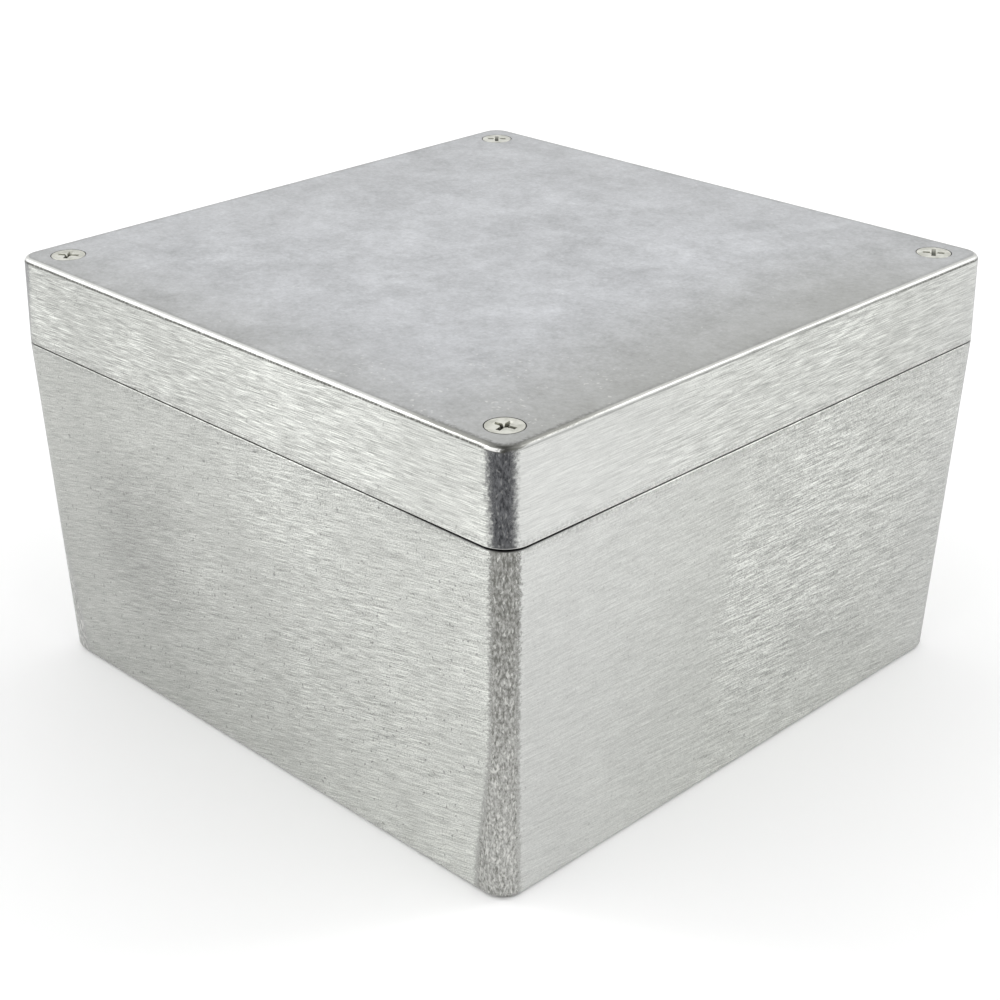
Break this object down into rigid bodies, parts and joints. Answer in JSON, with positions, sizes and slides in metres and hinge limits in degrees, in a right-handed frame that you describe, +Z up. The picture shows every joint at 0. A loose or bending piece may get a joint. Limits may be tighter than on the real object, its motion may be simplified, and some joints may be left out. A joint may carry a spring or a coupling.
{
  "type": "die cast aluminium box",
  "caption": "Square sealed die cast aluminium enclosure: deep drafted base, deep lid on a rubber seal, captive countersunk lid screws at the corners.",
  "frame": {"origin": "centre of the flat underside, on the surface the box stands on", "axes": "+Z up out of the lid, +X to the right and +Y to the back; the square plan's sides lie along X and Y"},
  "size_m": [0.16, 0.16, 0.1032],
  "materials": {
    "cast_aluminium": "as cast on top and corners, linished on the sides",
    "seal_rubber": "matte",
    "screw_steel": "plain stainless, slightly dulled",
    "ring_nylon": "natural nylon"
  },
  "bodies": {
    "base": {"base": "cast_aluminium"},
    "lid": {"lid": "cast_aluminium", "gasket": "seal_rubber"},
    "retaining_ring_front_left": {"retaining_ring_front_left": "ring_nylon"},
    "lid_screw_front_left": {"lid_screw_front_left": "screw_steel"},
    "retaining_ring_front_right": {"retaining_ring_front_right": "ring_nylon"},
    "lid_screw_front_right": {"lid_screw_front_right": "screw_steel"},
    "retaining_ring_back_right": {"retaining_ring_back_right": "ring_nylon"},
    "lid_screw_back_right": {"lid_screw_back_right": "screw_steel"},
    "retaining_ring_back_left": {"retaining_ring_back_left": "ring_nylon"},
    "lid_screw_back_left": {"lid_screw_back_left": "screw_steel"}
  },
  "joints": [
    {"name": "lid_lift", "type": "slide", "parent": "base", "child": "lid", "axis": [0, 0, 1], "range_m": [0, 0.08]},
    {"name": "screw_rise_front_left", "type": "slide", "parent": "lid", "child": "retaining_ring_front_left", "axis": [0, 0, 1], "range_m": [0, 0.0077]},
    {"name": "screw_turn_front_left", "type": "hinge", "parent": "retaining_ring_front_left", "child": "lid_screw_front_left", "pos_m": [-0.0707, -0.0707, 0.10305], "axis": [0, 0, 1], "range_deg": [0, 4020]},
    {"name": "screw_rise_front_right", "type": "slide", "parent": "lid", "child": "retaining_ring_front_right", "axis": [0, 0, 1], "range_m": [0, 0.0077]},
    {"name": "screw_turn_front_right", "type": "hinge", "parent": "retaining_ring_front_right", "child": "lid_screw_front_right", "pos_m": [0.0707, -0.0707, 0.10305], "axis": [0, 0, 1], "range_deg": [0, 4020]},
    {"name": "screw_rise_back_right", "type": "slide", "parent": "lid", "child": "retaining_ring_back_right", "axis": [0, 0, 1], "range_m": [0, 0.0077]},
    {"name": "screw_turn_back_right", "type": "hinge", "parent": "retaining_ring_back_right", "child": "lid_screw_back_right", "pos_m": [0.0707, 0.0707, 0.10305], "axis": [0, 0, 1], "range_deg": [0, 4020]},
    {"name": "screw_rise_back_left", "type": "slide", "parent": "lid", "child": "retaining_ring_back_left", "axis": [0, 0, 1], "range_m": [0, 0.0077]},
    {"name": "screw_turn_back_left", "type": "hinge", "parent": "retaining_ring_back_left", "child": "lid_screw_back_left", "pos_m": [-0.0707, 0.0707, 0.10305], "axis": [0, 0, 1], "range_deg": [0, 4020]}
  ],
  "couplings": [
    {"joint": "screw_turn_front_left", "follows": "screw_rise_front_left", "rad_per_m": 8976},
    {"joint": "screw_turn_front_right", "follows": "screw_rise_front_right", "rad_per_m": 8976},
    {"joint": "screw_turn_back_right", "follows": "screw_rise_back_right", "rad_per_m": 8976},
    {"joint": "screw_turn_back_left", "follows": "screw_rise_back_left", "rad_per_m": 8976}
  ]
}
